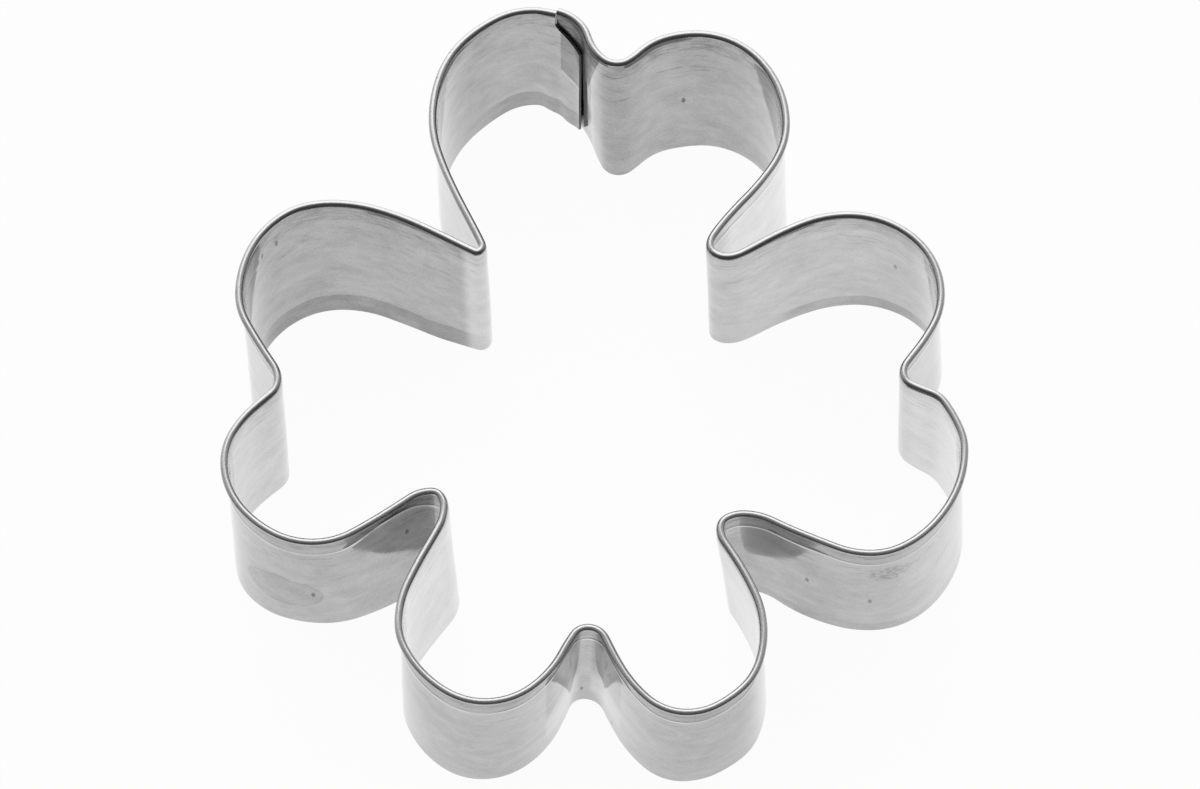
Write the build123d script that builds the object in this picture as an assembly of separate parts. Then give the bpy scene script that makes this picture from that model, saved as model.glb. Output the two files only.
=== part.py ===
from build123d import *
import math
import os
from dataclasses import dataclass, replace

# Driving sizes, millimetres
CUTTER_WIDTH = 65.0
CUTTER_HEIGHT = 22.0
STRIP_THICKNESS = 0.25
RIM_DIAMETER = 0.75
RIM_END_GAP = 0.2
LAP_LENGTH = 2.6
LAP_CLEARANCE = 0.04
LAP_BEND_RADIUS = 3.6
TONGUE_TOP_DROP = 2.8
TONGUE_CORNER_DROP = 6.3
WELD_DIAMETER = 1.2
CUT_OVERRUN = 1.0

# Turn of the rolled edge, degrees: up from the wall, over the top and back under
RIM_TURN = 270.0

# Heights of the weld spots, as shares of the cutter's height
WELD_HEIGHT_SHARES = (0.14, 0.34, 0.54)

# The strip's middle line, clockwise from above. Each row is one place where the bending changes:
# x and y as shares of half the cutter's width, the strip's heading there in degrees from +X, and
# how far the hand-bent wall has strayed at its cutting edge from under the rim, along x and along
# y, as shares of the cutter's height.
LAP_START_SHARES = (-0.107, 1.000)
LAP_HEADING = -14.0
LAP_STRAY_SHARES = (0.000, 0.020)
TOP_LEAF_RIGHT_LOBE_SHARES = (
    (-0.018, 0.908, -65, 0.025, -0.015),
    (0.062, 0.845, 0, 0.000, -0.045),
    (0.132, 0.883, 44, 0.005, -0.040),
    (0.280, 0.935, 0, 0.020, -0.040),
    (0.517, 0.671, -91, 0.045, -0.005),
    (0.474, 0.542, -124, 0.040, 0.005),
)
RIGHT_LEAF_SHARES = (
    (0.332, 0.369, -127, 0.035, 0.020),
    (0.305, 0.311, -90, 0.035, 0.025),
    (0.357, 0.268, 0, 0.035, 0.035),
    (0.449, 0.305, 31, 0.045, 0.035),
    (0.692, 0.391, 0, 0.070, 0.030),
    (0.929, 0.172, -90, 0.080, 0.055),
    (0.858, 0.006, -128, 0.065, 0.060),
    (0.822, -0.062, -90, 0.055, 0.060),
    (0.900, -0.126, -20, 0.050, 0.035),
    (0.952, -0.185, -62, 0.060, 0.020),
    (0.980, -0.277, -90, 0.070, 0.010),
    (0.883, -0.498, -136, 0.075, 0.000),
    (0.732, -0.566, 180, 0.060, 0.000),
    (0.560, -0.514, 157, 0.045, -0.015),
)
BOTTOM_LEAF_SHARES = (
    (0.394, -0.455, 180, 0.055, 0.010),
    (0.325, -0.505, -90, 0.070, 0.030),
    (0.363, -0.588, -58, 0.070, 0.030),
    (0.437, -0.797, -91, 0.050, 0.015),
    (0.378, -0.945, -138, 0.035, 0.010),
    (0.240, -1.006, 179, 0.000, 0.005),
    (0.074, -0.880, 119, -0.010, 0.000),
    (-0.018, -0.772, 180, -0.020, 0.010),
    (-0.092, -0.846, -117, -0.010, -0.005),
    (-0.286, -0.977, 180, -0.025, -0.030),
    (-0.462, -0.880, 128, -0.030, -0.035),
    (-0.508, -0.766, 90, -0.030, -0.005),
    (-0.437, -0.563, 61, -0.005, -0.045),
)
LEFT_LEAF_SHARES = (
    (-0.391, -0.443, 90, 0.015, -0.065),
    (-0.434, -0.391, 180, 0.010, -0.060),
    (-0.557, -0.452, -146, 0.000, -0.050),
    (-0.748, -0.535, 180, -0.020, -0.015),
    (-0.929, -0.446, 131, -0.045, -0.035),
    (-0.980, -0.314, 90, -0.035, -0.025),
    (-0.905, -0.166, 43, -0.035, -0.025),
    (-0.843, -0.083, 90, -0.030, -0.030),
    (-0.889, 0.015, 122, -0.030, -0.030),
    (-0.954, 0.172, 90, -0.025, -0.035),
    (-0.843, 0.391, 34, -0.015, -0.050),
    (-0.717, 0.425, 0, -0.005, -0.045),
    (-0.477, 0.360, -26, 0.000, -0.055),
    (-0.356, 0.300, -24, 0.015, -0.045),
)
TOP_LEAF_LEFT_LOBE_SHARES = (
    (-0.316, 0.341, 114, 0.025, -0.030),
    (-0.385, 0.498, 114, 0.010, -0.010),
    (-0.437, 0.692, 90, -0.010, 0.015),
    (-0.345, 0.926, 43, 0.000, 0.030),
    (-0.172, 1.006, 0, 0.005, 0.050),
)
OUTLINE_SHARES = (
    TOP_LEAF_RIGHT_LOBE_SHARES
    + RIGHT_LEAF_SHARES
    + BOTTOM_LEAF_SHARES
    + LEFT_LEAF_SHARES
    + TOP_LEAF_LEFT_LOBE_SHARES
)

# Sizes worked out from these
half_width = CUTTER_WIDTH / 2
rim_radius = RIM_DIAMETER / 2
wall_height = CUTTER_HEIGHT - rim_radius
half_thickness = STRIP_THICKNESS / 2
lap_shift = (STRIP_THICKNESS + LAP_CLEARANCE) / 2


@dataclass
class Bend:
    """One arc of the strip's middle line; a positive turn is to the left, which is out of the clover."""

    start: Vector
    heading: float
    radius: float
    turn: float

    def edge(self, outward):
        """The arc, moved outward by a distance and kept parallel."""
        side = math.copysign(1, self.turn)
        return JernArc(
            start=self.start + left_of(self.heading) * outward,
            tangent=direction(self.heading),
            radius=self.radius - side * outward,
            arc_size=self.turn,
        )

    def end(self):
        return self.edge(0) @ 1

    def end_heading(self):
        return self.heading + self.turn

    def shortened(self, length):
        """The same arc, cut back at its far end."""
        cut = math.degrees(length / self.radius)
        return replace(self, turn=self.turn - math.copysign(cut, self.turn))


@dataclass
class Place:
    """A place on the strip's middle line, and how far the cutting edge strays from it there."""

    spot: Vector
    heading: float
    stray: Vector


def direction(heading):
    angle = math.radians(heading)
    return Vector(math.cos(angle), math.sin(angle))


def left_of(heading):
    return direction(heading + 90)


def arc_to(start, heading, end):
    """The one arc that leaves start on its heading and passes through end."""
    chord = end - start
    half_turn = math.radians(direction(heading).get_signed_angle(chord, Vector(0, 0, 1)))
    radius = chord.length / (2 * abs(math.sin(half_turn)))
    return Bend(start, heading, radius, math.degrees(2 * half_turn))


def two_arcs(start, heading, end, end_heading):
    """Two arcs that run smoothly into each other, from one place and heading to the next."""
    first = direction(heading)
    last = direction(end_heading)
    chord = end - start
    along = chord.dot(first + last)
    spread = 2 * (1 - first.dot(last))
    leg = chord.dot(chord) / (math.sqrt(along**2 + spread * chord.dot(chord)) + along)
    joint = (start + end + (first - last) * leg) * 0.5
    opening = arc_to(start, heading, joint)
    return [opening, arc_to(joint, opening.end_heading(), end)]


def lap_end(outward):
    """One end of the strip where the two ends lie on each other, parallel to the other end."""
    turn = math.degrees(LAP_LENGTH / LAP_BEND_RADIUS)
    start = Vector(LAP_START_SHARES[0] * half_width, LAP_START_SHARES[1] * half_width)
    return Bend(
        start=start + left_of(LAP_HEADING) * outward,
        heading=LAP_HEADING,
        radius=LAP_BEND_RADIUS + outward,
        turn=-turn,
    )


def stray(shares):
    return Vector(*shares) * CUTTER_HEIGHT


def at_cutting_edge(end):
    """One end of the strip in the lap, moved to where the cutting edge runs."""
    return replace(end, start=end.start + stray(LAP_STRAY_SHARES))


def rim_places(outer_end, inner_end):
    """The places under the rim from the outer end of the strip, round the clover, to the inner end."""
    places = [Place(outer_end.end(), outer_end.end_heading(), stray(LAP_STRAY_SHARES))]
    for x_share, y_share, heading, *stray_shares in OUTLINE_SHARES:
        spot = Vector(x_share * half_width, y_share * half_width)
        places.append(Place(spot, heading, stray(stray_shares)))
    places.append(Place(inner_end.start, inner_end.heading, stray(LAP_STRAY_SHARES)))
    return places


def cutting_edge_places(places):
    """The same places strayed to the cutting edge, each headed as the strayed line runs."""
    first, *_, last = places
    strayed = [replace(first, spot=first.spot + first.stray)]
    for before, place, after in zip(places, places[1:], places[2:]):
        span = (place.spot - before.spot).length + (after.spot - place.spot).length
        course = direction(place.heading) + (after.stray - before.stray) / span
        heading = math.degrees(math.atan2(course.Y, course.X))
        strayed.append(Place(place.spot + place.stray, heading, place.stray))
    strayed.append(replace(last, spot=last.spot + last.stray))
    return strayed


def bends_through(places):
    bends = []
    for here, there in zip(places, places[1:]):
        bends += two_arcs(here.spot, here.heading, there.spot, there.heading)
    return bends


def strip_outline(bends, height):
    """The strip's outline from above along these bends, at this height."""
    outer = [bend.edge(half_thickness) for bend in bends]
    inner = [bend.edge(-half_thickness) for bend in bends]
    first_cut = Line(inner[0] @ 0, outer[0] @ 0)
    last_cut = Line(outer[-1] @ 1, inner[-1] @ 1)
    outline = Wire([first_cut, *outer, last_cut, *reversed(inner)])
    return outline.translate(Vector(0, 0, height))


def wall_solid(rim_bends, edge_bends):
    """The wall, straight from each bend of the cutting edge to the same bend under the rim."""
    outlines = [strip_outline(edge_bends, 0), strip_outline(rim_bends, wall_height)]
    return Solid.make_loft(outlines, ruled=True)


def tongue_solid(bend):
    """The flat inner end without its rolled edge, and with its top corner cut off at a slant."""
    tongue = wall_solid([bend], [at_cutting_edge(bend)])
    chord_heading = bend.heading + bend.turn / 2
    side = Plane(origin=bend.start, x_dir=direction(chord_heading), z_dir=-left_of(chord_heading))
    root_height = CUTTER_HEIGHT - TONGUE_TOP_DROP
    corner_height = CUTTER_HEIGHT - TONGUE_CORNER_DROP
    overrun_rise = (root_height - corner_height) / LAP_LENGTH * CUT_OVERRUN
    waste_outline = Polyline(
        (-CUT_OVERRUN, root_height + overrun_rise),
        (LAP_LENGTH + CUT_OVERRUN, corner_height - overrun_rise),
        (LAP_LENGTH + CUT_OVERRUN, CUTTER_HEIGHT),
        (-CUT_OVERRUN, CUTTER_HEIGHT),
        close=True,
    )
    waste = extrude(side * make_face(waste_outline), amount=CUT_OVERRUN, both=True)
    return tongue - waste


def rolled_edge(bends):
    """The strip's upper edge, rolled outward into a hollow bead that starts on the wall's top."""
    start = bends[0]
    across = Plane(
        origin=start.start + Vector(0, 0, wall_height),
        x_dir=left_of(start.heading),
        z_dir=direction(start.heading),
    )
    centre = rim_radius - half_thickness
    bore_radius = rim_radius - STRIP_THICKNESS
    outside = CenterArc((centre, 0), rim_radius, 180, -RIM_TURN)
    inside = CenterArc((centre, 0), bore_radius, 180, -RIM_TURN)
    section = make_face(
        Curve() + [outside, inside, Line(outside @ 0, inside @ 0), Line(outside @ 1, inside @ 1)]
    )
    path = Wire([bend.edge(0) for bend in bends]).translate(Vector(0, 0, wall_height))
    return sweep(across * section, path=path)


def weld_spots(bend):
    """Round nuggets halfway along the lap, each reaching to the middle of both sheets."""
    foot = bend.edge(0) @ 0.5
    across = left_of(bend.heading + bend.turn / 2)
    spots = []
    for share in WELD_HEIGHT_SHARES:
        height = share * CUTTER_HEIGHT
        spot = foot + stray(LAP_STRAY_SHARES) * (1 - height / wall_height) + Vector(0, 0, height)
        place = Plane(origin=spot, z_dir=across)
        spots.append(place * Cylinder(WELD_DIAMETER / 2, STRIP_THICKNESS + LAP_CLEARANCE))
    return spots


def centred(shapes):
    """The shapes, moved so that the origin is under the middle of the box round them all."""
    boxes = [shape.bounding_box(optimal=True) for shape in shapes.values()]
    low = Vector(min(box.min.X for box in boxes), min(box.min.Y for box in boxes))
    high = Vector(max(box.max.X for box in boxes), max(box.max.Y for box in boxes))
    return {name: shape.translate((low + high) * -0.5) for name, shape in shapes.items()}


def build():
    outer_end = lap_end(lap_shift)
    inner_end = lap_end(-lap_shift)
    places = rim_places(outer_end, inner_end)
    rim_bends = [outer_end, *bends_through(places)]
    edge_bends = [at_cutting_edge(outer_end), *bends_through(cutting_edge_places(places))]

    band = wall_solid(rim_bends, edge_bends) + tongue_solid(inner_end)
    spots = weld_spots(lap_end(0))
    for spot in spots:
        band -= spot

    bead_bends = rim_bends[:-1] + [rim_bends[-1].shortened(RIM_END_GAP)]
    rim = rolled_edge(bead_bends)

    length = sum(abs(math.radians(bend.turn)) * bend.radius for bend in rim_bends)
    tightest = min(bend.radius for bend in rim_bends + edge_bends)
    print(f"strip {length:.1f} mm round, {len(rim_bends)} bends, tightest {tightest:.2f} mm")
    return centred(
        {"cutter_band": band, "rolled_rim": rim, "spot_welds": Compound(children=spots)}
    )


os.makedirs("parts", exist_ok=True)
for name, shape in build().items():
    export_step(shape, f"parts/{name}.step")
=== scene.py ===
import cmath
import math

import bpy
import numpy as np
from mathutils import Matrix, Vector, noise


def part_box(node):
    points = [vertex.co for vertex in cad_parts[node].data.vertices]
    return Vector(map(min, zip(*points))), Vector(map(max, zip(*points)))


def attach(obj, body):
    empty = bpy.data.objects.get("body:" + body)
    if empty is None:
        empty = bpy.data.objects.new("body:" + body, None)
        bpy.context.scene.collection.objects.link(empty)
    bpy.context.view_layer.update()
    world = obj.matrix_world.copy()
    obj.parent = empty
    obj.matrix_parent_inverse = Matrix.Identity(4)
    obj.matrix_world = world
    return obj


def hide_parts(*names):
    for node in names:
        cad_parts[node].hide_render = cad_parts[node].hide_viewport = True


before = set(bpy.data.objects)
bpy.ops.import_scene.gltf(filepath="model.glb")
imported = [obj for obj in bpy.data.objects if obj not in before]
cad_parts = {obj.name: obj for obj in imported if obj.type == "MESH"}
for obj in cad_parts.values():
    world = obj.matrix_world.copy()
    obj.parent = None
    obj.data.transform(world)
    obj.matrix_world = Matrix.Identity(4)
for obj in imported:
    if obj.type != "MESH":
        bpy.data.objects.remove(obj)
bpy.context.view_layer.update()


# The band
# One strip of bright rolled sheet steel, bent by hand round the clover from its outer end at the
# lap, clockwise past four leaves of two lobes each, to its inner end under the outer one. Its
# lower edge is cut plain, and its walls lean as the bending left them.

mm = 0.001
clover_half_width = 32.5 * mm
strip_thickness = 0.25 * mm
half = strip_thickness / 2
wall_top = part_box("cutter_band")[1].z
rim_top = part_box("rolled_rim")[1].z

# The lap, where the outer end steps over the inner one. Its heading is in degrees from +X, and
# the cutting edge has strayed there from under the rim by a share of the cutter's height.
lap_clearance = 0.04 * mm
lap_length = 2.6 * mm
lap_bend_radius = 3.6 * mm
lap_start_shares = (-0.107, 1.000)
lap_heading = -14.0
lap_stray_shares = (0.000, 0.020)

# Each row is a place where the bending changes: x and y as shares of half the clover's width, the
# strip's heading in degrees from +X, and how far the cutting edge has strayed there from under
# the rim, along x and y, as shares of the cutter's height. The strays come from a least-squares
# fit to the cutting edge in the photo, rounded. The rows are those of the CAD, but for a sharper
# fold between the last two lists, and a little less stray in the last row.
top_leaf_right_lobe_shares = (
    (-0.018, 0.908, -65, 0.025, -0.015),
    (0.062, 0.845, 0, 0.000, -0.045),
    (0.132, 0.883, 44, 0.005, -0.040),
    (0.280, 0.935, 0, 0.020, -0.040),
    (0.517, 0.671, -91, 0.045, -0.005),
    (0.474, 0.542, -124, 0.040, 0.005),
)
right_leaf_shares = (
    (0.332, 0.369, -127, 0.035, 0.020),
    (0.305, 0.311, -90, 0.035, 0.025),
    (0.357, 0.268, 0, 0.035, 0.035),
    (0.449, 0.305, 31, 0.045, 0.035),
    (0.692, 0.391, 0, 0.070, 0.030),
    (0.929, 0.172, -90, 0.080, 0.055),
    (0.858, 0.006, -128, 0.065, 0.060),
    (0.822, -0.062, -90, 0.055, 0.060),
    (0.900, -0.126, -20, 0.050, 0.035),
    (0.952, -0.185, -62, 0.060, 0.020),
    (0.980, -0.277, -90, 0.070, 0.010),
    (0.883, -0.498, -136, 0.075, 0.000),
    (0.732, -0.566, 180, 0.060, 0.000),
    (0.560, -0.514, 157, 0.045, -0.015),
)
bottom_leaf_shares = (
    (0.394, -0.455, 180, 0.055, 0.010),
    (0.325, -0.505, -90, 0.070, 0.030),
    (0.363, -0.588, -58, 0.070, 0.030),
    (0.437, -0.797, -91, 0.050, 0.015),
    (0.378, -0.945, -138, 0.035, 0.010),
    (0.240, -1.006, 179, 0.000, 0.005),
    (0.074, -0.880, 119, -0.010, 0.000),
    (-0.018, -0.772, 180, -0.020, 0.010),
    (-0.092, -0.846, -117, -0.010, -0.005),
    (-0.286, -0.977, 180, -0.025, -0.030),
    (-0.462, -0.880, 128, -0.030, -0.035),
    (-0.508, -0.766, 90, -0.030, -0.005),
    (-0.437, -0.563, 61, -0.005, -0.045),
)
left_leaf_shares = (
    (-0.391, -0.443, 90, 0.015, -0.065),
    (-0.434, -0.391, 180, 0.010, -0.060),
    (-0.557, -0.452, -146, 0.000, -0.050),
    (-0.748, -0.535, 180, -0.020, -0.015),
    (-0.929, -0.446, 131, -0.045, -0.035),
    (-0.980, -0.314, 90, -0.035, -0.025),
    (-0.905, -0.166, 43, -0.035, -0.025),
    (-0.843, -0.083, 90, -0.030, -0.030),
    (-0.889, 0.015, 122, -0.030, -0.030),
    (-0.954, 0.172, 90, -0.025, -0.035),
    (-0.843, 0.391, 34, -0.015, -0.050),
    (-0.717, 0.425, 0, -0.005, -0.045),
    (-0.477, 0.360, -26, 0.000, -0.055),
    (-0.330, 0.284, -27, -0.003, -0.018),
)
top_leaf_left_lobe_shares = (
    (-0.299, 0.320, 115, 0.002, -0.005),
    (-0.385, 0.498, 114, 0.010, -0.010),
    (-0.437, 0.692, 90, -0.010, 0.015),
    (-0.345, 0.926, 43, 0.000, 0.030),
    (-0.172, 1.006, 0, 0.005, 0.045),
)

# The strip's line is worked out in fine steps, the change from bend to bend is eased, and only as
# many stations are kept as the bending needs.
fine_step = 0.08 * mm
bend_easing = 0.16 * mm
station_turn = math.radians(3.0)
station_spacing = 0.6 * mm

# The wall goes up in rows. Its cutting edge is a little rounded, its top leans outward into the
# rim, and handling left it wavy, but for the stretch that the rim stiffens.
edge_rounding = 0.05 * mm
wall_row = 1.0 * mm
lead_in_height = 0.6 * mm
lead_in_out = 0.05 * mm
lead_in_rows = 6
lead_in_degrees = math.degrees(math.atan(2 * lead_in_out / lead_in_height))
broad_wave = 0.06 * mm
broad_wave_reach = (9.0 * mm, 14.0 * mm)
small_wave = 0.010 * mm
small_wave_reach = (2.6 * mm, 5.0 * mm)
stiffened_share = 0.25
sharp_edge = math.radians(35)

# A roller left a faint ridge round the wall below the rim, which shows less on the inner face.
# Beside the fold between the bottom and the left leaf it climbs. That stretch is given by its
# start, its end and the softness of its ends, in millimetres along the strip.
ridge_height = 18.2 * mm
ridge_swell = 0.035 * mm
ridge_spread = 0.30 * mm
ridge_row = 0.1 * mm
inner_ridge_share = 0.2
ridge_rise = 1.4 * mm
ridge_rise_stretch = (185.0, 190.6, 2.4)

# The flat tongue at the strip's inner end has no rim. Its top slopes down in a slight curve from
# its root, where the rim stops a hair short of the outer end, to its corner. Its foot stands off
# the outer end, and pressing the lap together pushed both ends inward at the foot.
tongue_overhang = 0.37 * mm
tongue_length = lap_length + tongue_overhang
root_height = rim_top - 1.9 * mm
corner_height = rim_top - 4.9 * mm
slope_bow = 0.6
root_gap = 0.04 * mm
tongue_stand_off = 0.11 * mm
stand_off_height = 13.0 * mm
lap_sag = 0.35 * mm
lap_sag_middle = 1.45 * mm
lap_sag_reach = 1.7 * mm


def unit(heading):
    """A heading in degrees as a complex number of length one."""
    return cmath.rect(1.0, math.radians(heading))


def arc_points(start, heading, end, count):
    """So many steps along the one arc that leaves start on its heading and passes through end."""
    chord = end - start
    half_turn = cmath.phase(chord / heading)
    radius = abs(chord) / (2 * math.sin(half_turn))
    turned = np.arange(1, count + 1) / count * 2 * half_turn
    return start + heading * radius * (np.exp(1j * turned) - 1) / 1j


def two_arcs(start, heading, end, end_heading):
    """Two arcs that run smoothly into each other, from one place and heading to the next."""
    chord = end - start
    along = (chord * (heading + end_heading).conjugate()).real
    spread = 2 * (1 - (heading * end_heading.conjugate()).real)
    leg = abs(chord) ** 2 / (math.sqrt(along**2 + spread * abs(chord) ** 2) + along)
    joint = (start + end + (heading - end_heading) * leg) / 2
    opening = joint - start
    joint_heading = (opening / abs(opening)) ** 2 / heading
    return [(start, heading, joint), (joint, joint_heading, end)]


def lap_places(outward, length):
    """The two ends of a lapped stretch, for one end of the strip moved outward or inward."""
    stray = complex(*lap_stray_shares) * rim_top
    heading = unit(lap_heading)
    turn = cmath.exp(-1j * length / lap_bend_radius)
    start = clover_half_width * complex(*lap_start_shares) + 1j * heading * outward
    end = start + heading * (lap_bend_radius + outward) * (1 - turn) / 1j
    return [(start, heading, stray), (end, heading * turn, stray)]


def strayed_places(places):
    """The places moved to the cutting edge, each headed as the strayed line runs there."""
    moved = []
    for before, (spot, heading, stray), after in zip(places, places[1:], places[2:]):
        course = heading + (after[2] - before[2]) / (abs(spot - before[0]) + abs(after[0] - spot))
        moved.append((spot + stray, course / abs(course)))
    return moved


def eased(values):
    """Each value drawn towards its neighbours within about the easing; the ends stay."""
    values = values.copy()
    for _ in range(int(2 * (bend_easing / fine_step) ** 2)):
        values[1:-1] = (values[:-2] + 2 * values[1:-1] + values[2:]) / 4
    return values


lap_shift = (strip_thickness + lap_clearance) / 2
outer_lap = lap_places(lap_shift, lap_length)
inner_lap = lap_places(-lap_shift, tongue_length)
places = [outer_lap[1]]
for x, y, degrees, *stray_shares in (
    top_leaf_right_lobe_shares
    + right_leaf_shares
    + bottom_leaf_shares
    + left_leaf_shares
    + top_leaf_left_lobe_shares
):
    spot = clover_half_width * complex(x, y)
    places.append((spot, unit(degrees), complex(*stray_shares) * rim_top))
places.append(inner_lap[0])
rim_places = [outer_lap[0][:2], *(place[:2] for place in places), inner_lap[1][:2]]
outer_edge, inner_edge = (
    [(spot + stray, heading) for spot, heading, stray in lap] for lap in (outer_lap, inner_lap)
)
edge_places = [*outer_edge, *strayed_places(places), *inner_edge]

rim_line = [rim_places[0][:1]]
edge_line = [edge_places[0][:1]]
for i in range(1, len(rim_places)):
    rim_arcs = two_arcs(*rim_places[i - 1], *rim_places[i])
    edge_arcs = two_arcs(*edge_places[i - 1], *edge_places[i])
    for rim_arc, edge_arc in zip(rim_arcs, edge_arcs):
        count = math.ceil(abs(rim_arc[2] - rim_arc[0]) / fine_step)
        rim_line.append(arc_points(*rim_arc, count))
        edge_line.append(arc_points(*edge_arc, count))
rim_line = np.concatenate(rim_line)
edge_line = np.concatenate(edge_line)
run = np.concatenate([[0], np.cumsum(np.abs(np.diff(rim_line)))])
even = np.linspace(0, run[-1], math.ceil(run[-1] / fine_step))
way = eased(np.interp(even, run, rim_line.real) + 1j * np.interp(even, run, rim_line.imag))
stray = eased(np.interp(even, run, edge_line.real) + 1j * np.interp(even, run, edge_line.imag)) - way
heading = np.gradient(way)
heading /= np.abs(heading)

# The clover's middle is the middle of the rim, which isn't quite the part's origin.
clover_middle = sum(complex(corner.x, corner.y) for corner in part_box("rolled_rim")) / 2
way += clover_middle

root_place = even[-1] - tongue_length * (1 - lap_shift / lap_bend_radius) - root_gap
tongue_start = int(np.argmin(np.abs(even - root_place)))
turned = np.concatenate([[0], np.cumsum(np.abs(np.angle(heading[1:] / heading[:-1])))])
kept = [0]
for i in range(1, len(even)):
    far_on = even[i] - even[kept[-1]] >= station_spacing
    if far_on or turned[i] - turned[kept[-1]] >= station_turn or i in (tongue_start, len(even) - 1):
        kept.append(i)
tongue_station = kept.index(tongue_start)
along = even[kept]
way = way[kept]
outward = 1j * heading[kept]
stray = stray[kept]


def smooth_step(low, high, value):
    """Rises smoothly from 0 to 1 between two values."""
    share = np.clip((value - low) / (high - low), 0, 1)
    return share * share * (3 - 2 * share)


def between(value, start, end, softness):
    """1 between two values and 0 outside them, with soft changes."""
    begun = smooth_step(start - softness, start + softness, value)
    return begun * smooth_step(end + softness, end - softness, value)


def wave(along_strip, height, reach, layer):
    """A smooth random wave from -1 to 1 over the strip laid flat."""
    return noise.noise(Vector((along_strip / reach[0], height / reach[1], layer)))


def undulation(along_strip, height):
    """How far the sheet stands off its even line, as handling and bending left it."""
    broad = wave(along_strip, height, broad_wave_reach, 0.3)
    small = wave(along_strip, height, small_wave_reach, 7.1)
    return broad_wave * broad + small_wave * small


def sheet_points(station, outs, heights):
    """Points of the sheet at one station, from their places in its section."""
    place = along[station]
    low = np.clip(1 - heights / wall_top, 0, 1)
    off_ridge = heights - ridge_height - ridge_rise * between(place / mm, *ridge_rise_stretch)
    ridge = ridge_swell * np.exp(-((off_ridge / ridge_spread) ** 2))
    ridge *= np.where(outs > 0, 1.0, inner_ridge_share)
    waves = np.array([undulation(place, height) for height in heights])
    waves *= np.clip(low / stiffened_share, 0, 1)
    lead_in = lead_in_out * np.clip((heights - wall_top) / lead_in_height + 1, 0, 1) ** 2
    into_tongue = max(0.0, (place - along[tongue_station]) / tongue_length)
    stand_off = tongue_stand_off * into_tongue * smooth_step(stand_off_height, 0.0, heights)
    lap_middles = np.array([0.0, along[tongue_station]]) + lap_sag_middle
    from_sag = min(1.0, np.abs(place - lap_middles).min() / lap_sag_reach)
    sag = lap_sag * low * math.cos(from_sag * math.pi / 2) ** 2
    out = outs + ridge + lead_in + waves - stand_off - sag
    plan = way[station] + outward[station] * out + stray[station] * low
    return np.stack([plan.real, plan.imag, heights], axis=1)


def link_object(name, mesh):
    """The mesh as an object of the scene, smooth but for its true edges."""
    mesh.shade_smooth()
    mesh.set_sharp_from_angle(angle=sharp_edge)
    made = bpy.data.objects.new(name, mesh)
    bpy.context.scene.collection.objects.link(made)
    return made


def sheet_object(name, sections):
    """A skin over the sheet's sections, each of which goes up the inner face and down the outer.

    A section may stop lower than the one before it. The mesh keeps each vertex's place on the
    strip laid flat. Its second material is for the sheared ends and upper edge.
    """
    vertices = []
    strip_places = []
    faces = []
    cut_faces = []
    starts = []

    def close_across(start, size, lowest_row):
        for row in range(lowest_row, size // 2 - 1):
            over = start + size - 1 - row
            cut_faces.append(len(faces))
            faces.append((start + row, over, over - 1, start + row + 1))

    for station, outs, heights in sections:
        starts.append((len(vertices), len(outs)))
        vertices.extend(sheet_points(station, outs, heights).tolist())
        strip_places.extend((along[station], height, out) for out, height in zip(outs, heights))
    for (here, size), (there, next_size) in zip(starts, starts[1:]):
        columns = [here + i + (size - next_size) * (i >= next_size // 2) for i in range(next_size)]
        for i in range(next_size):
            after = (i + 1) % next_size
            if i == next_size // 2 - 1:
                cut_faces.append(len(faces))
            faces.append((columns[i], there + i, there + after, columns[after]))
        if next_size < size:
            close_across(here, size, next_size // 2 - 1)
    close_across(*starts[-1], 0)
    first_end = len(faces)
    close_across(*starts[0], 0)
    faces[first_end:] = [face[::-1] for face in faces[first_end:]]

    mesh = bpy.data.meshes.new(name)
    mesh.from_pydata(vertices, [], faces)
    kept_places = mesh.attributes.new("strip_place", "FLOAT_VECTOR", "POINT")
    kept_places.data.foreach_set("vector", np.array(strip_places).ravel())
    for i in cut_faces:
        mesh.polygons[i].material_index = 1
    return link_object(name, mesh)


def wall_section(rows, top):
    """The flat of the strip in section, its rows drawn down to this top."""
    heights = rows * top / rows[-1]
    outs = np.full(len(rows), half)
    outs[0] -= edge_rounding
    return np.concatenate([-outs, outs[::-1]]), np.concatenate([heights, heights[::-1]])


low_rows = np.arange(wall_row, ridge_height - 3.5 * ridge_spread, wall_row)
ridge_rows = np.arange(ridge_height - 3 * ridge_spread, root_height - ridge_row / 2, ridge_row)
tongue_rows = np.array([0.0, edge_rounding, *low_rows, *ridge_rows, root_height])
rows = np.array([*tongue_rows, *np.linspace(wall_top - lead_in_height, wall_top, lead_in_rows)])
full_section = wall_section(rows, wall_top)
sections = [(station, *full_section) for station in range(tongue_station + 1)]
for station in range(tongue_station + 1, len(way)):
    share = (along[station] - along[tongue_station]) / (along[-1] - along[tongue_station])
    top = root_height + (corner_height - root_height) * share**slope_bow
    sections.append((station, *wall_section(tongue_rows, top)))
band = sheet_object("steel_strip", sections)


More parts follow.
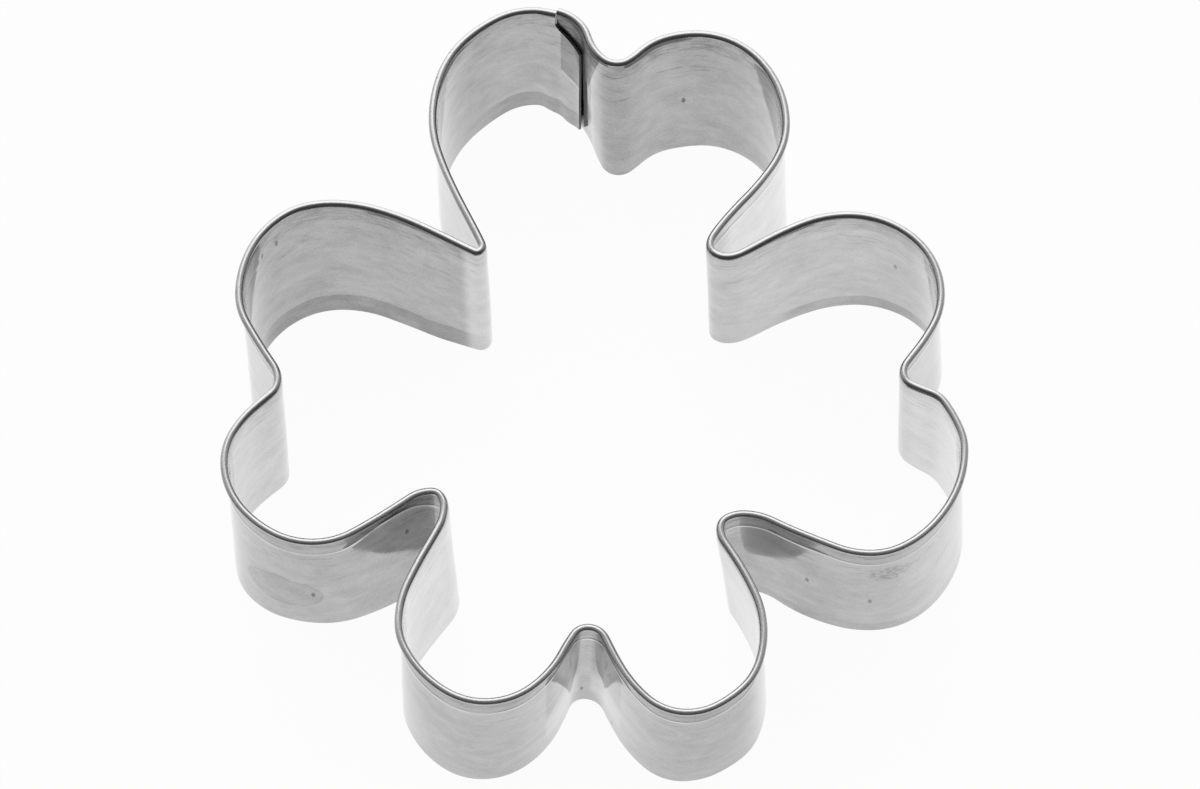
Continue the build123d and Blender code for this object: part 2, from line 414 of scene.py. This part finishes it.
class Nodes:
    """Short ways to add and join the nodes of one material."""

    def __init__(self, name):
        self.material = bpy.data.materials.new(name)
        self.material.use_nodes = True
        self.tree = self.material.node_tree
        self.shader = self.tree.nodes["Principled BSDF"]

    def join(self, value, socket):
        """Sets an input to a value, or joins another node's output to it."""
        if isinstance(value, bpy.types.NodeSocket):
            self.tree.links.new(value, socket)
        else:
            socket.default_value = value

    def sum(self, operation, *values):
        """The outcome of one sum on numbers and outputs."""
        node = self.tree.nodes.new("ShaderNodeMath")
        node.operation = operation
        for value, socket in zip(values, node.inputs):
            self.join(value, socket)
        return node.outputs[0]

    def product(self, first, *others):
        """All the values multiplied together."""
        for other in others:
            first = self.sum("MULTIPLY", first, other)
        return first

    def changed(self, value, changes):
        """A value after each mark has added its change to it, where the mark is."""
        for mark, change in changes:
            value = self.sum("MULTIPLY_ADD", mark, change, value)
        return value

    def strip_place(self):
        """Place along the strip, height and place outward, as the mesh keeps them."""
        kept_place = self.tree.nodes.new("ShaderNodeAttribute")
        kept_place.attribute_name = "strip_place"
        parts = self.tree.nodes.new("ShaderNodeSeparateXYZ")
        self.join(kept_place.outputs["Vector"], parts.inputs[0])
        return parts.outputs

    def cloud(self, along_strip, height, grain, layer, detail=2.0, distortion=0.0):
        """Noise from 0 to 1 with grains of this length and height, in millimetres."""
        place = self.tree.nodes.new("ShaderNodeCombineXYZ")
        self.join(self.sum("DIVIDE", along_strip, grain[0] * mm), place.inputs[0])
        self.join(self.sum("DIVIDE", height, grain[1] * mm), place.inputs[1])
        self.join(layer, place.inputs[2])
        node = self.tree.nodes.new("ShaderNodeTexNoise")
        self.join(place.outputs[0], node.inputs["Vector"])
        self.join(1.0, node.inputs["Scale"])
        self.join(detail, node.inputs["Detail"])
        self.join(distortion, node.inputs["Distortion"])
        return node.outputs["Fac"]

    def rise(self, value, low, high):
        """Rises smoothly from 0 to 1 between two values, or falls if low is the greater."""
        node = self.tree.nodes.new("ShaderNodeMapRange")
        node.interpolation_type = "SMOOTHSTEP"
        self.join(value, node.inputs["Value"])
        self.join(low, node.inputs["From Min"])
        self.join(high, node.inputs["From Max"])
        return node.outputs["Result"]

    def climb(self, value, low, high):
        """The same rise between two places in millimetres."""
        return self.rise(value, low * mm, high * mm)

    def stretch(self, value, start, end, softness):
        """1 between two places in millimetres and 0 outside them."""
        begun = self.climb(value, start - softness, start + softness)
        return self.product(begun, self.climb(value, end + softness, end - softness))

    def stretches(self, value, rows):
        """Stretches added up, each with its start, end, softness, strength and face."""
        total = 0.0
        for start, end, softness, strength, on_face in rows:
            stretch = self.product(self.stretch(value, start, end, softness), on_face)
            total = self.sum("MULTIPLY_ADD", stretch, strength, total)
        return total

    def spot(self, along_strip, height, middle, reach, softness):
        """1 inside an ellipse on the flat of the strip, in millimetres, and 0 outside it."""
        across = self.sum("DIVIDE", self.sum("SUBTRACT", along_strip, middle[0] * mm), reach[0] * mm)
        up = self.sum("DIVIDE", self.sum("SUBTRACT", height, middle[1] * mm), reach[1] * mm)
        off = self.sum("ADD", self.product(across, across), self.product(up, up))
        return self.rise(off, 1 + softness, 1 - softness)

    def metal(self, level, roughness, lacquer=0.0):
        """Makes the shader metal of this grey level and roughness, under so much clear lacquer."""
        if isinstance(level, bpy.types.NodeSocket):
            grey = self.tree.nodes.new("ShaderNodeCombineColor")
            for socket in grey.inputs:
                self.join(level, socket)
            self.join(grey.outputs[0], self.shader.inputs["Base Color"])
        else:
            self.join((level, level, level, 1), self.shader.inputs["Base Color"])
        self.join(1.0, self.shader.inputs["Metallic"])
        self.join(roughness, self.shader.inputs["Roughness"])
        self.join(lacquer, self.shader.inputs["Coat Weight"])
        self.join(roughness, self.shader.inputs["Coat Roughness"])

    def relief(self, height, depth):
        """Relief of this depth on the shader."""
        node = self.tree.nodes.new("ShaderNodeBump")
        self.join(depth, node.inputs["Distance"])
        self.join(height, node.inputs["Height"])
        self.join(node.outputs["Normal"], self.shader.inputs["Normal"])


# The steel's marks have their places on the strip laid flat, in millimetres along it from its
# outer end and up from its cutting edge. Rolling left fine streaks along it, and each face has
# its own layers of grain. Below the rim it is rougher in patches from scuffing, and these patches
# are darkened by painted shade under the rim. Handling left smears and films of oil.
steel = Nodes("rolled_sheet_steel")
run_along, height, side = steel.strip_place()
inner_face = steel.sum("LESS_THAN", side, 0.0)
outer_face = steel.sum("SUBTRACT", 1.0, inner_face)
face_layer = steel.product(steel.sum("SIGN", side), 3.7)


def face_cloud(grain, layer, detail, distortion=0.0):
    """A cloud on the steel that differs from face to face."""
    layer = steel.sum("ADD", face_layer, layer)
    return steel.cloud(run_along, height, grain, layer, detail, distortion)


streaks = face_cloud((9.0, 0.22), 0.0, 3.0)
mottle = face_cloud((1.5, 1.1), 0.0, 4.0)
speckle = face_cloud((0.16, 0.12), 2.0, 1.0)
clouds = face_cloud((3.2, 2.4), 12.0, 5.0, 0.4)
film = steel.rise(face_cloud((6.0, 4.5), 9.0, 3.0, 0.8), 0.50, 0.56)
# Patches below the rim: rougher from scuffing, and darkened by painted shade under the rim.
scuffs_and_painted_rim_shade = steel.product(
    steel.rise(face_cloud((1.3, 0.3), 5.0, 3.0), 0.35, 0.65),
    steel.climb(height, 19.0, 19.8),
    steel.climb(height, 22.4, 20.9),
)
smears = steel.product(
    steel.rise(face_cloud((2.2, 0.5), 7.0, 3.0, 0.5), 0.57, 0.66),
    steel.stretch(height, 14.5, 20.5, 1.0),
)

# Along the cutting edge, on some stretches, the steel is a little rougher and darkened up to an
# uneven line by painted shade, which stands in for the floor's shade at the wall's foot mirrored
# in the steel.
foot_shade_line = steel.changed(
    3.0 * mm,
    (
        (mottle, 0.9 * mm),
        (outer_face, -1.5 * mm),
        (steel.stretch(run_along, 45.0, 75.0, 2.0), -1.0 * mm),
    ),
)
foot_shade_stretches = (
    (50.0, 70.0, 2.0, 1.0, inner_face),
    (88.0, 112.0, 2.0, 0.35, outer_face),
    (229.0, 250.5, 2.0, 1.0, inner_face),
    (276.0, 290.0, 2.0, 1.0, inner_face),
)
# Painted shade along the cutting edge, which also makes the steel a little rougher there.
foot_band_painted_shade = steel.product(
    steel.climb(steel.sum("SUBTRACT", height, foot_shade_line), 0.08, -0.08),
    steel.stretches(run_along, foot_shade_stretches),
)

# On each side of the lap the steel is rougher in a patch darkened by painted shade, and each patch
# has a painted highlight along its edge. One patch covers the tongue above a slanting foot. The
# other has a leaning side.
patch_reach = 2.35 * mm
patch_foot = 10.9 * mm
foot_slant = 0.5
side_place = 4.2 * mm
side_foot = 12.7 * mm
side_lean = 0.235
to_side = steel.sum("SUBTRACT", run_along, along[-1] - patch_reach)
to_foot = steel.sum("SUBTRACT", steel.sum("MULTIPLY_ADD", to_side, foot_slant, height), patch_foot)
on_tongue = steel.climb(steel.sum("MINIMUM", to_side, to_foot), -0.05, 0.05)
by_tongue = steel.product(
    steel.stretch(to_foot, -0.5, -0.05, 0.08), steel.climb(to_side, -0.1, 0.3)
)
up_side = steel.sum("MAXIMUM", steel.sum("SUBTRACT", height, side_foot), 0.0)
past_side = steel.sum("MULTIPLY_ADD", up_side, -side_lean, run_along)
past_side = steel.sum("SUBTRACT", past_side, side_place)
beside_tongue = steel.product(
    steel.climb(past_side, 0.06, -0.06), steel.climb(height, 12.2, 13.0)
)
by_side = steel.product(steel.climb(past_side, -0.02, 0.06), steel.climb(past_side, 1.2, 0.1))
# Painted shade over both patches, which are also rougher, and a painted highlight along their edges.
lap_patch_painted_shade = steel.product(steel.sum("ADD", on_tongue, beside_tongue), inner_face)
lap_patch_painted_highlight = steel.product(steel.sum("ADD", by_tongue, by_side), inner_face)

# A finger left a round film on the outer face of the left leaf, with a darker rim to it.
film_height = steel.sum("MULTIPLY_ADD", mottle, 2.2 * mm, height)
film_middle = (198.0, 8.4)
whole_film = steel.spot(run_along, film_height, film_middle, (3.6, 3.4), 0.06)
film_inside = steel.spot(run_along, film_height, film_middle, (3.45, 3.25), 0.06)
film_edge = steel.product(steel.sum("SUBTRACT", whole_film, film_inside), outer_face)
finger_film = steel.product(whole_film, outer_face)

# The strip is pitted here and there. It has one scratch, and a smudge near it.
pit_reach = (0.18, 0.50)
pit_places = (
    (14.7, 9.6),
    (61.0, 12.4),
    (100.0, 8.3),
    (105.6, 9.8),
    (143.5, 1.2),
    (147.5, 3.4),
    (186.2, 14.6),
    (195.3, 7.6),
    (229.7, 18.8),
    (231.6, 18.4),
)
pitted = 0.0
for pit_place in pit_places:
    pit = steel.spot(run_along, height, pit_place, pit_reach, 0.5)
    pitted = steel.sum("MAXIMUM", pitted, pit)
scratch_slant = 0.37
slanting = steel.sum("MULTIPLY_ADD", run_along, scratch_slant, height)
scratch = steel.spot(run_along, slanting, (92.3, 45.2), (1.3, 0.14), 0.5)
scratch = steel.product(scratch, outer_face)
smudge = steel.product(
    steel.rise(steel.cloud(run_along, height, (0.5, 0.35), 31.0), 0.40, 0.60),
    steel.spot(run_along, height, (98.2, 15.2), (1.9, 1.6), 0.6),
    outer_face,
)

# Painted reflection: some stretches are painted lighter and others, which have a strength below
# zero, darker, as the steel mirrors brighter or darker surroundings there.
reflection_tone_stretches = (
    (4.0, 11.0, 1.5, -0.25, inner_face),
    (29.0, 39.5, 1.5, 1.5, outer_face),
    (42.0, 60.0, 4.0, 0.45, inner_face),
    (66.0, 76.0, 2.0, 0.3, outer_face),
    (78.0, 86.0, 1.5, 1.15, inner_face),
    (90.0, 97.0, 2.0, 0.4, outer_face),
    (103.5, 118.0, 2.0, -0.25, outer_face),
    (116.0, 121.0, 1.0, 0.4, inner_face),
    (124.0, 134.0, 2.5, -0.3, outer_face),
    (124.0, 141.0, 2.5, -0.25, outer_face),
    (162.0, 168.0, 2.0, -0.2, outer_face),
    (171.0, 181.0, 1.5, 1.15, inner_face),
    (180.0, 188.0, 1.5, -0.2, outer_face),
    (208.0, 216.0, 1.5, 0.8, inner_face),
    (214.0, 225.0, 2.0, 0.45, outer_face),
    (225.0, 232.0, 2.0, -0.2, inner_face),
    (249.8, 252.5, 0.6, 1.0, inner_face),
    (265.0, 276.0, 2.5, -0.4, inner_face),
)
painted_reflection_tone = steel.stretches(run_along, reflection_tone_stretches)

# In the bottom leaf's notch the outer face is darkened by painted shade on both sides of the bend,
# standing in for the darker reflection there. Below that it has a painted highlight.
notch_shade_stretches = (
    (142.2, 146.7, 0.25, 1.0, outer_face),
    (147.9, 153.0, 0.25, 1.0, outer_face),
)
in_notch = steel.stretches(run_along, notch_shade_stretches)
# Painted shade above and painted highlight below, in the notch.
notch_painted_shade = steel.product(in_notch, steel.climb(height, 7.5, 9.5))
notch_painted_highlight = steel.product(in_notch, steel.stretch(height, 3.0, 7.5, 1.5))

# Along the ridge run a painted highlight line and a painted shade line, which fade here and there
# and hardly show on the inner face. Above the ridge, painted shade darkens the outer face a little,
# most of all where the ridge climbs.
line_strength = steel.product(
    steel.rise(steel.cloud(run_along, height, (7.0, 30.0), 21.0), 0.3, 0.6),
    steel.sum("MULTIPLY_ADD", outer_face, 0.9, 0.1),
)
at_rise = steel.stretch(run_along, *ridge_rise_stretch)
off_rise = steel.sum("MULTIPLY_ADD", at_rise, -ridge_rise, height)
# Painted highlight and painted shade lines along the ridge, and painted shade above it.
ridge_painted_highlight = steel.product(steel.stretch(off_rise, 17.94, 18.16, 0.06), line_strength)
ridge_painted_shade = steel.product(steel.stretch(off_rise, 18.24, 18.42, 0.06), line_strength)
above_ridge_painted_shade = steel.product(
    steel.stretch(off_rise, 18.5, 23.0, 0.4),
    outer_face,
    steel.sum("MULTIPLY_ADD", at_rise, 2.5, 1.0),
)

grey_changes = (
    (mottle, 0.14),
    (streaks, 0.05),
    (speckle, 0.20),
    (clouds, 0.18),
    (ridge_painted_highlight, 0.32),
    (ridge_painted_shade, -0.18),
    (above_ridge_painted_shade, -0.05),
    (film_edge, -0.07),
    (scratch, -0.20),
    (smudge, -0.17),
    (scuffs_and_painted_rim_shade, -0.10),
    (film, -0.02),
    (smears, -0.08),
    (foot_band_painted_shade, -0.13),
    (lap_patch_painted_shade, -0.15),
    (lap_patch_painted_highlight, 0.10),
    (painted_reflection_tone, 0.20),
    (finger_film, -0.065),
    (pitted, -0.26),
    (notch_painted_shade, -0.14),
    (notch_painted_highlight, 0.12),
)
roughness_changes = (
    (streaks, 0.05),
    (film, 0.04),
    (scuffs_and_painted_rim_shade, 0.12),
    (finger_film, 0.05),
    (foot_band_painted_shade, 0.05),
    (lap_patch_painted_shade, 0.16),
)
steel.metal(steel.changed(0.10, grey_changes), steel.changed(0.03, roughness_changes), lacquer=0.25)
steel.relief(streaks, 0.0010 * mm)
sheared = Nodes("sheared_edge_steel")
sheared.metal(level=0.30, roughness=0.7)
band.data.materials.append(steel.material)
band.data.materials.append(sheared.material)
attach(band, "root")
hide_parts("cutter_band")


# The rolled rim
# The strip's own upper edge, rolled outward into a narrow bead for the hand to press on. It
# starts at the top of the wall and stops at the tongue, and its two ends are cut blunt.

# The bead's bends, from the wall over the crown to the lip: outer radius and turn in degrees.
rim_bends = (
    (0.44 * mm, 60.0 - lead_in_degrees),
    (0.28 * mm, 45.0),
    (0.90 * mm, 8.0),
    (0.24 * mm, 147.0),
)
bead_step = 9.0


def bead_section():
    """The bead in section: up its inner face, over the crown to the lip, and back inside it."""
    out = 0.0
    height = wall_top
    degrees = 90 - lead_in_degrees
    line = [(out, height, degrees)]
    for radius, turn in rim_bends:
        steps = math.ceil(turn / bead_step)
        chord = 2 * (radius - half) * math.sin(math.radians(turn / steps / 2))
        for _ in range(steps):
            degrees -= turn / steps / 2
            out += chord * math.cos(math.radians(degrees))
            height += chord * math.sin(math.radians(degrees))
            degrees -= turn / steps / 2
            line.append((out, height, degrees))
    crown = max(height for out, height, degrees in line) + half
    first = line[0]
    rise = (rim_top - crown) / math.sin(math.radians(first[2]))
    lean = rise * math.cos(math.radians(first[2]))
    line = [first] + [(out + lean, height + rim_top - crown, degrees) for out, height, degrees in line]
    out, height, degrees = np.array(line).T
    side_out = np.cos(np.radians(degrees + 90)) * half
    side_up = np.sin(np.radians(degrees + 90)) * half
    outs = np.concatenate([out + side_out, (out - side_out)[::-1]])
    return outs, np.concatenate([height + side_up, (height - side_up)[::-1]])


section = bead_section()
rim = sheet_object("rolled_rim", [(station, *section) for station in range(tongue_station + 1)])

# The bead is worn, a little duller on its outer flank, and has dark specks.
bead_steel = Nodes("worn_bead_steel")
run_along, height, side = bead_steel.strip_place()
around = bead_steel.sum("ADD", height, side)
grain = bead_steel.cloud(run_along, around, (0.5, 0.12), 2.0, 3.0)
wear = bead_steel.cloud(run_along, around, (2.4, 0.4), 6.0)
specks = bead_steel.cloud(run_along, around, (0.22, 0.10), 14.0)
specks = bead_steel.rise(specks, 0.62, 0.70)
flank = bead_steel.climb(side, 0.10, 0.40)
bead_steel.metal(
    bead_steel.changed(0.44, ((grain, 0.10), (specks, -0.18))),
    bead_steel.changed(0.12, ((wear, 0.16), (flank, 0.08))),
)
bead_steel.relief(grain, 0.008 * mm)
rim.data.materials.append(bead_steel.material)
rim.data.materials.append(sheared.material)
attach(rim, "root")
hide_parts("rolled_rim")


# The spot welds
# Three round nuggets, one above another, that fuse the lapped ends of the strip together. They
# lie sealed between the two sheets.

weld_radius = 0.6 * mm
weld_height_shares = (0.14, 0.34, 0.54)
weld_sides = 32
weld_reach = half + lap_clearance / 2

lap_start, lap_end = lap_places(0.0, lap_length)
lap_outward = 1j * (lap_start[1] + lap_end[1])
lap_outward /= abs(lap_outward)
lap_sagitta = lap_bend_radius * (1 - math.cos(lap_length / lap_bend_radius / 2))
lap_middle = (lap_start[0] + lap_end[0]) / 2 + lap_outward * lap_sagitta + clover_middle
vertices = []
faces = []
for share in weld_height_shares:
    start = len(vertices)
    for reach in (-weld_reach, weld_reach):
        for i in range(weld_sides):
            turn = 2 * math.pi * i / weld_sides
            level = share * rim_top + weld_radius * math.sin(turn)
            plan = lap_middle + lap_outward * (reach - 1j * weld_radius * math.cos(turn))
            plan += (lap_start[2] - lap_outward * lap_sag) * (1 - level / wall_top)
            vertices.append((plan.real, plan.imag, level))
    for i in range(weld_sides):
        after = (i + 1) % weld_sides
        faces.append((start + i, start + weld_sides + i, start + weld_sides + after, start + after))
    faces.append(tuple(range(start, start + weld_sides)))
    faces.append(tuple(reversed(range(start + weld_sides, start + 2 * weld_sides))))
weld_mesh = bpy.data.meshes.new("weld_nuggets")
weld_mesh.from_pydata(vertices, [], faces)
welds = link_object("weld_nuggets", weld_mesh)
nugget = Nodes("weld_nugget_steel")
nugget.metal(level=0.45, roughness=0.45)
weld_mesh.materials.append(nugget.material)
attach(welds, "root")
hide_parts("spot_welds")


# The table
# A white sheet of board that the cutter stands on, far wider than the picture. The camera and
# the steel see it nearly as white as it would be under full light.

board_half = 3.0
board_grey = 0.9
white_for_camera = 0.96
white_for_steel = 0.95

board_mesh = bpy.data.meshes.new("table")
corners = [(x * board_half, y * board_half, 0) for x, y in ((-1, -1), (1, -1), (1, 1), (-1, 1))]
board_mesh.from_pydata(corners, [], [(0, 1, 2, 3)])
board = bpy.data.objects.new("table", board_mesh)
bpy.context.scene.collection.objects.link(board)
paper = Nodes("white_board")
paper.join((board_grey, board_grey, board_grey, 1), paper.shader.inputs["Base Color"])
paper.join(1.0, paper.shader.inputs["Roughness"])
paper.join(0.0, paper.shader.inputs["Specular IOR Level"])
glow = paper.tree.nodes.new("ShaderNodeEmission")
rays = paper.tree.nodes.new("ShaderNodeLightPath").outputs
mirrored = paper.sum("MAXIMUM", rays["Is Glossy Ray"], rays["Is Transmission Ray"])
seen = paper.sum(
    "MAXIMUM",
    paper.product(rays["Is Camera Ray"], white_for_camera),
    paper.product(mirrored, white_for_steel),
)
mix = paper.tree.nodes.new("ShaderNodeMixShader")
paper.join(seen, mix.inputs["Fac"])
paper.join(paper.shader.outputs["BSDF"], mix.inputs[1])
paper.join(glow.outputs["Emission"], mix.inputs[2])
paper.join(mix.outputs["Shader"], paper.tree.nodes["Material Output"].inputs["Surface"])
board_mesh.materials.append(paper.material)


# The studio
# One big softbox leans over the table from behind. The room is pale behind the table and on its
# left, darker on its right, and dark on the camera's side.

softbox_width = 1.5
softbox_watts = 8.0
softbox_place = Vector((-0.10, 0.95, 0.73))

# Each stop is a place between the room's two ends, from -1 to 1, and its grey level there.
front_to_back_stops = (
    (-1.0, 0.07),
    (-0.6, 0.10),
    (-0.3, 0.19),
    (-0.1, 0.42),
    (0.1, 0.62),
    (0.4, 0.80),
    (1.0, 0.90),
)
left_to_right_stops = (
    (-1.0, 0.90),
    (-0.3, 1.0),
    (0.3, 0.95),
    (0.7, 0.75),
    (1.0, 0.60),
)

world = bpy.data.worlds.new("studio")
bpy.context.scene.world = world
world.use_nodes = True
nodes = world.node_tree.nodes
links = world.node_tree.links
direction = nodes.new("ShaderNodeTexCoord")
axes = nodes.new("ShaderNodeSeparateXYZ")
links.new(direction.outputs["Generated"], axes.inputs[0])


def room_ramp(axis, stops):
    """Levels between the room's two ends along an axis."""
    share = nodes.new("ShaderNodeMapRange")
    share.inputs["From Min"].default_value = -1.0
    links.new(axes.outputs[axis], share.inputs["Value"])
    ramp = nodes.new("ShaderNodeValToRGB")
    elements = ramp.color_ramp.elements
    for element, (place, level) in zip(elements, (stops[0], stops[-1])):
        element.position = (place + 1) / 2
        element.color = (level, level, level, 1)
    for place, level in stops[1:-1]:
        elements.new((place + 1) / 2).color = (level, level, level, 1)
    links.new(share.outputs["Result"], ramp.inputs["Fac"])
    return ramp.outputs["Color"]


both = nodes.new("ShaderNodeVectorMath")
both.operation = "MULTIPLY"
links.new(room_ramp("Y", front_to_back_stops), both.inputs[0])
links.new(room_ramp("X", left_to_right_stops), both.inputs[1])
links.new(both.outputs["Vector"], nodes["Background"].inputs["Color"])
nodes["Background"].inputs["Strength"].default_value = 1.0

lamp_data = bpy.data.lights.new("softbox", "AREA")
lamp_data.shape = "SQUARE"
lamp_data.size = softbox_width
lamp_data.energy = softbox_watts
lamp = bpy.data.objects.new("softbox", lamp_data)
lamp.location = softbox_place
lamp.rotation_euler = (-softbox_place).to_track_quat("-Z", "Y").to_euler()
bpy.context.scene.collection.objects.link(lamp)


# The camera
# It looks down over the clover from the side of the bottom leaf, through a long lens. Its
# elevation was picked so that a fit to the photo gives the usual height of such cutters. Others
# fit the photo about as well, with a lower or a taller cutter.

camera_distance = 410 * mm
camera_elevation = math.radians(69)
target = Vector((0.475, -3.991, 21.625)) * mm + Vector((clover_middle.real, clover_middle.imag, 0))
to_camera = Vector((0, -math.cos(camera_elevation), math.sin(camera_elevation)))

camera_data = bpy.data.cameras.new("camera")
camera_data.sensor_width = 36
camera_data.lens = 141.0
camera_data.clip_start = 0.01
camera_data.clip_end = 10
camera = bpy.data.objects.new("camera", camera_data)
camera.location = target + camera_distance * to_camera
camera.rotation_euler = (math.pi / 2 - camera_elevation, 0, 0)
bpy.context.scene.collection.objects.link(camera)
bpy.context.scene.camera = camera

bpy.context.scene.view_settings.view_transform = "Standard"
